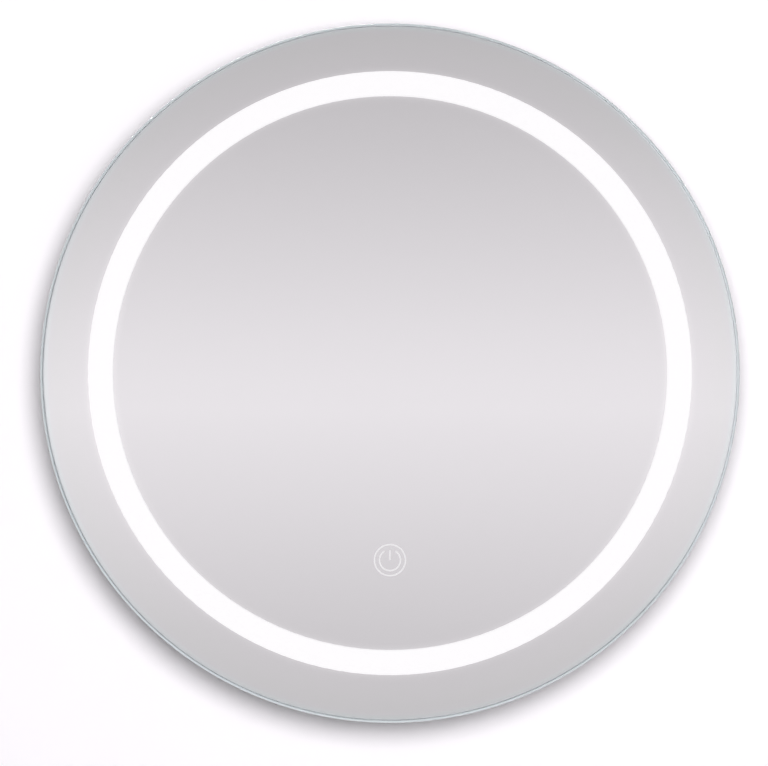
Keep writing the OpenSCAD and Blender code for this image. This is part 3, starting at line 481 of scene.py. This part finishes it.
# Chip LEDs: yellow phosphor gel, which glows
phosphor = grained("phosphor gel", ("#F0DC94", "#F8EAB6"), rough=(0.25, 0.4), size=0.6 * mm,
                   relief=0.01 * mm,
                   sockets={"Emission Color": hexColour("#FFF6E2"), "Emission Strength": 1.0})

# Soft sheath on the leads: satin, faintly wavy from being bent
leadSheath = grained("white sheath", ("#DEDEDA", "#E8E8E4"), rough=(0.36, 0.5), size=4 * mm,
                     relief=0.05 * mm)
earthSheath = wound("green and yellow sheath", "#3F9436", "#E0D02C", 3 * mm, "DIAGONAL", 0.42)

whitePlastic = mouldedPlastic("white moulded plastic", "#E8E8E5", "#EFEFEC")
greyPlastic = mouldedPlastic("grey moulded plastic", "#5C5F61", "#666A6C")
nylon = mouldedPlastic("natural nylon", "#E4DEC8", "#ECE7D4")
chipBlack = mouldedPlastic("black moulded resin", "#17181A", "#1E2022")
acrylic = mouldedPlastic("milky acrylic", "#F1F1EF", "#F5F5F3")
ferrite = mouldedPlastic("sintered ferrite", "#2E3032", "#3A3C3E")
copper = smallMetal("bare copper", "#B96F45", "#CC8156", 0.3)
brass = smallMetal("turned brass", "#C6A350", "#D8B76A", 0.28)
tinned = smallMetal("tinned copper", "#BDBAB2", "#CECBC3", 0.32)
enamelledCopper = smallMetal("enamelled copper wire", "#A4522C", "#BF6C42", 0.26)
greenBoard = circuitBoard("green solder mask", "#0F5B36", "#1D7548", 3 * mm)
whiteBoard = circuitBoard("white solder mask", "#F1F1EB", "#E6E2D4", 6 * mm)
windingTape = wound("polyester winding tape", "#D9A91F", "#E8BE36", 9 * mm, "X", 0.3)
canSleeve = wound("shrink sleeve", "#18213C", "#1E2948", 26 * mm, "X", 0.35)

finishes = {
    silver: ["mirror_silvering"],
    lacquer: ["edge_seal"],
    frost: ["frosted_band"],
    etch: ["touch_mark"],
    aluminium: ["frame_joiner", "front_flange"],
    rivets: ["joiner_rivets", "baffle_rivets", "rail_rivets"],
    zinc: ["plate_screws", "driver_screws", "cover_screws", "clamp_screws", "terminal_screws",
           "bumper_screws"],
    enamel: ["light_baffle"],
    whiteBoard: ["led_strip"],
    phosphor: ["led_chips"],
    chipBlack: ["strip_resistors"],
    whitePlastic: ["strip_connector", "wiring_box", "lead_clips", "touch_case", "touch_lid"],
    greyPlastic: ["driver_case", "driver_lid"],
    greenBoard: ["driver_board", "touch_circuit"],
    windingTape: ["driver_transformer"],
    canSleeve: ["driver_capacitors"],
    copper: ["touch_electrode"],
    nylon: ["terminal_block", "cord_clamp"],
    brass: ["terminal_inserts", "earth_screw", "earth_nut", "touch_contact"],
    tinned: ["earth_tag"],
    acrylic: ["touch_diffuser"],
}
for material, names in finishes.items():
    for name in names:
        cadNodes[name].data.materials.clear()
        cadNodes[name].data.materials.append(material)
print("materials made")


# Modelling

seamGap = 0.001 * mm            # points of a turned piece that are closer than this are one
cadGap = 0.002 * mm             # the same in a copy of a CAD node
flatAngle = 0.4                 # degrees between faces of a CAD node that count as one flat face


def deselectAll():
    bpy.ops.object.select_all(action="DESELECT")


# Names the active object, gives it its material and lets it ride on its body
def finishPiece(name, material, body="mirror"):
    piece = bpy.context.view_layer.objects.active
    piece.name = name
    piece.data.name = name
    piece.data.materials.clear()
    piece.data.materials.append(material)
    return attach(piece, body)


# A round piece, made from a circle that is extruded along a closed profile of (radius, out) pairs
def turnProfile(profile, facets):
    deselectAll()
    radius, out = profile[0]
    bpy.ops.mesh.primitive_circle_add(vertices=facets, radius=radius, location=(0, -out, 0),
                                      rotation=(math.radians(90), 0, 0))
    bpy.ops.object.transform_apply(location=True, rotation=True, scale=True)
    bpy.ops.object.mode_set(mode="EDIT")
    bpy.ops.mesh.select_all(action="SELECT")
    for nextRadius, nextOut in profile[1:] + profile[:1]:
        bpy.ops.mesh.extrude_edges_move(TRANSFORM_OT_translate={"value": (0, out - nextOut, 0)})
        share = nextRadius / radius
        bpy.ops.transform.resize(value=(share, 1, share), center_override=(0, -nextOut, 0))
        radius, out = nextRadius, nextOut
    bpy.ops.mesh.select_all(action="SELECT")
    bpy.ops.mesh.remove_doubles(threshold=seamGap)
    bpy.ops.mesh.normals_make_consistent(inside=False)
    bpy.ops.object.mode_set(mode="OBJECT")


# A copy of a CAD node, in one closed mesh
def mergedCopy(node, name):
    deselectAll()
    piece = bpy.data.objects.new(name, cadNodes[node].data.copy())
    bpy.context.scene.collection.objects.link(piece)
    bpy.context.view_layer.objects.active = piece
    piece.select_set(True)
    bpy.ops.mesh.customdata_custom_splitnormals_clear()
    bpy.ops.object.mode_set(mode="EDIT")
    bpy.ops.mesh.select_all(action="SELECT")
    bpy.ops.mesh.remove_doubles(threshold=cadGap)
    bpy.ops.mesh.dissolve_limited(angle_limit=math.radians(flatAngle))
    bpy.ops.object.mode_set(mode="OBJECT")
    return piece


# A copy whose sharp edges are rounded, as a press, a mould or a tumbler leaves them
def roundedCopy(node, name, s, material, body="mirror"):
    piece = mergedCopy(node, name)
    bevel = piece.modifiers.new("rounding", "BEVEL")
    bevel.width = s["round"]
    bevel.segments = s["steps"]
    bevel.limit_method = "ANGLE"
    bevel.angle_limit = math.radians(s["sharp"])
    bpy.ops.object.modifier_apply(modifier=bevel.name)
    bpy.ops.object.shade_smooth_by_angle(angle=math.radians(s["sharp"]))
    weighted = piece.modifiers.new("flat faces lead", "WEIGHTED_NORMAL")
    weighted.keep_sharp = True
    bpy.ops.object.modifier_apply(modifier=weighted.name)
    finishPiece(name, material, body)
    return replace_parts(piece, node)


# A copy whose facets are smoothed out, for what is soft and round
def smoothCopy(node, name, s, material, body="mirror"):
    piece = mergedCopy(node, name)
    smooth = piece.modifiers.new("smoothing", "SUBSURF")
    smooth.levels = smooth.render_levels = s["steps"]
    bpy.ops.object.modifier_apply(modifier=smooth.name)
    bpy.ops.object.shade_smooth()
    finishPiece(name, material, body)
    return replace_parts(piece, node)


# Mirror glass: a disc of float glass with a ground and polished round edge

glassSettings = {
    "facets": 720, "round": 2.2 * mm, "steps": 8,
    "seat": 0.05 * mm,          # how far its back lies behind the silver's face
    "flat": 0.999,              # a face whose normal lies this close to the axis is flat
}


def makeGlass(s):
    deselectAll()
    depth = glassFace - glassBack + s["seat"]
    bpy.ops.mesh.primitive_cylinder_add(vertices=s["facets"], radius=glassRadius, depth=depth,
                                        location=(0, depth / 2 - glassFace, 0),
                                        rotation=(math.radians(90), 0, 0))
    bpy.ops.object.transform_apply(location=True, rotation=True, scale=True)
    piece = bpy.context.view_layer.objects.active
    for line in piece.data.edges:
        a, b = (piece.data.vertices[i].co for i in line.vertices)
        line.select = abs(a.y - b.y) < depth / 2
    bpy.ops.object.mode_set(mode="EDIT")
    bpy.ops.mesh.select_mode(type="EDGE")
    bpy.ops.mesh.bevel(offset=s["round"], segments=s["steps"], profile=0.5, affect="EDGES")
    bpy.ops.object.mode_set(mode="OBJECT")
    finishPiece("glass_disc", glass)
    piece.data.materials.append(edge)
    for face in piece.data.polygons:
        onEdge = abs(face.normal.y) < s["flat"]
        face.use_smooth = onEdge
        face.material_index = 1 if onEdge else 0
    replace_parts(piece, "mirror_glass")


makeGlass(glassSettings)
print("glass made")


# Backing paint: what shows of the silver's painted back outside the silicone

paintSettings = {"facets": 360, "thick": 0.05 * mm, "gap": 0.05 * mm}


def makePaint(s):
    inner, outer = beadRadius + s["gap"], silverRadius
    back = coatingBack - s["thick"]
    turnProfile([(outer, coatingBack), (outer, back), (inner, back), (inner, coatingBack)],
                s["facets"])
    finishPiece("backing_paint", paint)


# Silicone bead: a hollow fillet between the flange and the glass, a little uneven

beadSettings = {
    "facets": 360, "steps": 6, "sharp": 50,
    "wave": 0.25 * mm, "waveLength": 14 * mm,
    "inset": 0.12 * mm,         # from the flange, so that the waves don't cut into it
}


def makeBead(s):
    width = beadRadius - flangeRadius - s["inset"]
    height = coatingBack - beadBack
    hollow = [math.radians(90 * i / s["steps"]) for i in range(s["steps"] + 1)]
    inner = flangeRadius + s["inset"]
    outline = [(inner + width * (1 - math.sin(a)), coatingBack - height * (1 - math.cos(a)))
               for a in hollow]
    turnProfile([(inner, coatingBack)] + outline[::-1], s["facets"])
    piece = bpy.context.view_layer.objects.active
    wave = bpy.data.textures.new("tooling", "CLOUDS")
    wave.noise_scale = s["waveLength"]
    uneven = piece.modifiers.new("tooling", "DISPLACE")
    uneven.texture = wave
    uneven.texture_coords = "LOCAL"
    uneven.strength = s["wave"]
    bpy.ops.object.modifier_apply(modifier=uneven.name)
    bpy.ops.object.shade_smooth_by_angle(angle=math.radians(s["sharp"]))
    finishPiece("silicone_fillet", silicone)
    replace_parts(piece, "silicone_bead")


makePaint(paintSettings)
makeBead(beadSettings)
print("paint and silicone made")


# Sheet metal, rubber and steel, with rounded edges

sheetEdges = {"round": 0.5 * mm, "steps": 3, "sharp": 35}
pressedEdges = {"round": 0.6 * mm, "steps": 3, "sharp": 35}
rubberEdges = {"round": 0.8 * mm, "steps": 4, "sharp": 35}
fineEdges = {"round": 0.25 * mm, "steps": 2, "sharp": 35}

roundedCopy("frame_ring", "rolled_frame", sheetEdges, aluminium)
roundedCopy("back_plate", "pressed_back_plate", pressedEdges, galvanised)
roundedCopy("terminal_cover", "cover_plate", fineEdges, galvanised)
roundedCopy("hanging_rail", "folded_rail", sheetEdges, aluminium)
roundedCopy("wall_bumpers", "rubber_bumpers", rubberEdges, rubber)
roundedCopy("cable_grommet", "rubber_grommet", fineEdges, rubber)
roundedCopy("wall_frame", "wall_bracket", sheetEdges, powder, "wall_hook")
print("chassis and wall frame made")


# Foam, whose cut edges are rounded by the squeeze, and leads in their soft sheaths

tapeEdges = {"round": 0.4 * mm, "steps": 4, "sharp": 35}
gasketEdges = {"round": 0.3 * mm, "steps": 4, "sharp": 35}
leadSettings = {"steps": 1}

roundedCopy("bonding_tape", "foam_tape", tapeEdges, foam)
roundedCopy("plate_gasket", "foam_gasket", gasketEdges, foam)
smoothCopy("strip_lead", "strip_cable", leadSettings, leadSheath)
smoothCopy("driver_input_lead", "driver_input_cable", leadSettings, leadSheath)
smoothCopy("driver_output_lead", "driver_output_cable", leadSettings, leadSheath)
smoothCopy("earth_lead", "earth_wire", leadSettings, earthSheath)


# Choke: turns of enamelled wire round a ferrite ring

chokeSettings = {
    "coreHalf": 2.3 * mm, "chamfer": 1.1 * mm, "coreFacets": 48, "sharp": 30,
    "turns": 23, "spread": 325, "lean": 4,    # degrees
    "wire": 0.42 * mm, "turnFacets": 24, "wireFacets": 8,
}


def makeChoke(s):
    low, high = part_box("driver_choke")
    middle = (low + high) / 2
    woundRadius = (high.y - low.y) / 2
    ringRadius = (high.x - low.x) / 2 - woundRadius
    a, b = s["coreHalf"], s["coreHalf"] - s["chamfer"]
    corners = [(a, b), (b, a), (-b, a), (-a, b), (-a, -b), (-b, -a), (b, -a), (a, -b)]
    turnProfile([(ringRadius + across, out) for across, out in corners], s["coreFacets"])
    bpy.ops.transform.translate(value=middle)
    bpy.ops.object.transform_apply(location=True, rotation=True, scale=True)
    bpy.ops.object.shade_smooth_by_angle(angle=math.radians(s["sharp"]))
    finishPiece("choke_core", ferrite)
    deselectAll()
    bpy.ops.mesh.primitive_torus_add(major_segments=s["turnFacets"], minor_segments=s["wireFacets"],
                                     major_radius=woundRadius - s["wire"], minor_radius=s["wire"],
                                     location=middle + Vector((ringRadius, 0, 0)),
                                     rotation=(0, math.radians(s["lean"]), 0))
    bpy.ops.object.transform_apply(location=True, rotation=True, scale=True)
    bpy.ops.object.mode_set(mode="EDIT")
    bpy.ops.mesh.select_all(action="SELECT")
    bpy.ops.mesh.spin(steps=s["turns"] - 1, dupli=True, angle=math.radians(s["spread"]),
                      center=middle, axis=(0, 1, 0))
    bpy.ops.object.mode_set(mode="OBJECT")
    bpy.ops.object.shade_smooth()
    finishPiece("choke_turns", enamelledCopper)
    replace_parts(bpy.context.view_layer.objects.active, "driver_choke")


makeChoke(chokeSettings)
print("foam, leads and choke made")


# Stage: a pale wall behind the mirror and a pale floor far below it. Both are seen from
# their front only, so that the mirror's back can be looked at through the wall.

stageSettings = {
    "wallSize": 9.0, "wallGap": 0.4 * mm, "wallColour": "#FAF6FA",
    "wallLit": (0.5, 1.4),      # radii between which the wall turns from lit to plainly white
    "wallGlow": (0.061, 1.0),   # at those radii
    "floorSize": 14.0, "floorBelow": 1.5, "floorColour": "#E4E3E4", "floorGlow": (0.7, 0.7),
}


# Matt paint that also glows for the camera and for glass, and is clear from behind
def stageMaterial(name, colour, glow, lit):
    made = bpy.data.materials.new(name)
    made.use_nodes = True
    tree = made.node_tree
    tree.nodes.clear()
    light = addNode(tree, "LightPath")
    side = addNode(tree, "NewGeometry")
    direct = addNode(tree, "Math", links={0: light.outputs["Is Camera Ray"],
                                          1: light.outputs["Is Glossy Ray"]}, operation="MAXIMUM")
    seen = addNode(tree, "Math", links={0: direct.outputs[0],
                                        1: light.outputs["Is Transmission Ray"]},
                   operation="MAXIMUM")
    spread = addNode(tree, "MapRange", {"From Min": lit[0], "From Max": lit[1],
                                        "To Min": glow[0], "To Max": glow[1]},
                     {"Value": axisRadius(tree)})
    strength = addNode(tree, "Math", links={0: seen.outputs[0], 1: spread.outputs["Result"]},
                       operation="MULTIPLY")
    paintwork = addNode(tree, "BsdfDiffuse", {"Color": hexColour(colour)})
    glowing = addNode(tree, "Emission", {"Color": (1, 1, 1, 1)}, {"Strength": strength.outputs[0]})
    front = addNode(tree, "AddShader", links={0: paintwork.outputs[0], 1: glowing.outputs[0]})
    clear = addNode(tree, "BsdfTransparent")
    whole = addNode(tree, "MixShader", links={0: side.outputs["Backfacing"], 1: front.outputs[0],
                                              2: clear.outputs[0]})
    addNode(tree, "OutputMaterial", links={"Surface": whole.outputs[0]})
    return made


def makeStage(s):
    deselectAll()
    bpy.ops.mesh.primitive_plane_add(size=s["wallSize"], location=(0, s["wallGap"], 0),
                                     rotation=(math.radians(90), 0, 0))
    wall = bpy.context.view_layer.objects.active
    wall.name = "wall"
    bpy.ops.object.transform_apply(location=True, rotation=True, scale=True)
    wall.data.materials.append(stageMaterial("wall paint", s["wallColour"], s["wallGlow"],
                                             s["wallLit"]))
    bpy.ops.mesh.primitive_plane_add(size=s["floorSize"], location=(0, 0, -s["floorBelow"]))
    floor = bpy.context.view_layer.objects.active
    floor.name = "floor"
    floor.data.materials.append(stageMaterial("floor paint", s["floorColour"], s["floorGlow"],
                                              s["wallLit"]))
    for plane in (wall, floor):
        plane.visible_glossy = False
        plane.visible_shadow = False
    wall.visible_diffuse = False
    floor.visible_transmission = False    # the mirror shows the room and not this floor


makeStage(stageSettings)
print("stage made")


# Light: a round softbox in front, up and to the right, which throws the soft shadow on the
# wall, a soft lamp behind for the mirror's back, and a room for the mirror to reflect

beforeBounce = 0.5              # a ray with fewer bounces than this has had none
keySettings = {"place": (0.22, -2.5, 0.464), "across": 1.63, "watts": 65.4}
rearSettings = {"from": (-0.65, 1.0, 1.7), "strength": 3.2, "angle": 0.8}
roomSettings = {
    "fill": 0.116, "fillTint": "#F6F9FF",
    # Tone of the room by height, as the sine of the angle above the mirror's axis
    "tones": [(-1.0, 0.85), (-0.35, 0.62), (-0.1, 0.6), (-0.07, 0.664), (-0.035, 0.785),
              (-0.006, 0.877), (0.012, 0.835), (0.045, 0.718), (0.075, 0.61), (0.1, 0.556),
              (0.35, 0.6), (1.0, 0.85)],
    "tint": "#FFFCFF",
}


def addLamp(name, kind, place):
    lamp = bpy.data.objects.new(name, bpy.data.lights.new(name, kind))
    lamp.location = place
    lamp.rotation_euler = Vector(place).to_track_quat("Z", "Y").to_euler()
    lamp.visible_camera = False
    lamp.visible_transmission = False
    bpy.context.scene.collection.objects.link(lamp)
    return lamp


def makeKey(s):
    lamp = addLamp("softbox", "AREA", s["place"])
    lamp.visible_glossy = False    # or the mirror would show it
    lamp.data.shape = "DISK"
    lamp.data.size = s["across"]
    lamp.data.energy = s["watts"]


# It lights the mirror's back, but not the wall by way of the mirror's back
def makeRear(s):
    lamp = addLamp("rear lamp", "SUN", s["from"])
    lamp.data.energy = s["strength"]
    lamp.data.angle = s["angle"]
    lamp.data.cycles.use_multiple_importance_sampling = False
    lamp.data.use_nodes = True
    tree = lamp.data.node_tree
    path = addNode(tree, "LightPath")
    first = addNode(tree, "Math", {1: beforeBounce}, {0: path.outputs["Diffuse Depth"]},
                    operation="LESS_THAN")
    tree.links.new(first.outputs[0], tree.nodes["Emission"].inputs["Strength"])


# The mirror shows the room's tones, matt surfaces get an even fill, and the camera sees white,
# also straight through clear glass
def makeRoom(s):
    world = bpy.data.worlds.new("room")
    bpy.context.scene.world = world
    world.use_nodes = True
    world.cycles.sampling_method = "NONE"
    tree = world.node_tree
    tree.nodes.clear()
    direction = addNode(tree, "TexCoord")
    parts = addNode(tree, "SeparateXYZ", links={"Vector": direction.outputs["Generated"]})
    height = addNode(tree, "MapRange", {"From Min": -1.0, "From Max": 1.0},
                     {"Value": parts.outputs["Z"]})
    ramp = addNode(tree, "ValToRGB", links={"Fac": height.outputs["Result"]})
    stops = ramp.color_ramp.elements
    stops.remove(stops[1])
    tint = hexColour(s["tint"])[:3]
    stops[0].color = [s["tones"][0][1] * c for c in tint] + [1.0]
    for place, tone in s["tones"][1:]:
        stops.new((place + 1) / 2).color = [tone * c for c in tint] + [1.0]
    path = addNode(tree, "LightPath")
    fill = addNode(tree, "Background", {"Color": hexColour(s["fillTint"]), "Strength": s["fill"]})
    room = addNode(tree, "Background", {"Strength": 1.0}, {"Color": ramp.outputs["Color"]})
    white = addNode(tree, "Background", {"Color": (1, 1, 1, 1), "Strength": 1.0})
    early = addNode(tree, "Math", {1: beforeBounce}, {0: path.outputs["Diffuse Depth"]},
                    operation="LESS_THAN")
    mirrored = addNode(tree, "Math", links={0: path.outputs["Is Glossy Ray"], 1: early.outputs[0]},
                       operation="MULTIPLY")
    lit = addNode(tree, "MixShader", links={0: mirrored.outputs[0], 1: fill.outputs[0],
                                            2: room.outputs[0]})
    unmirrored = addNode(tree, "Math", {1: beforeBounce}, {0: path.outputs["Glossy Depth"]},
                         operation="LESS_THAN")
    straight = addNode(tree, "Math", links={0: unmirrored.outputs[0], 1: early.outputs[0]},
                       operation="MULTIPLY")
    through = addNode(tree, "Math", links={0: path.outputs["Is Transmission Ray"],
                                           1: straight.outputs[0]}, operation="MULTIPLY")
    seen = addNode(tree, "Math", links={0: path.outputs["Is Camera Ray"], 1: through.outputs[0]},
                   operation="MAXIMUM")
    whole = addNode(tree, "MixShader", links={0: seen.outputs[0], 1: lit.outputs[0],
                                              2: white.outputs[0]})
    addNode(tree, "OutputWorld", links={"Surface": whole.outputs[0]})


makeKey(keySettings)
makeRear(rearSettings)
makeRoom(roomSettings)
bpy.context.scene.view_settings.view_transform = "Standard"
print("light made")
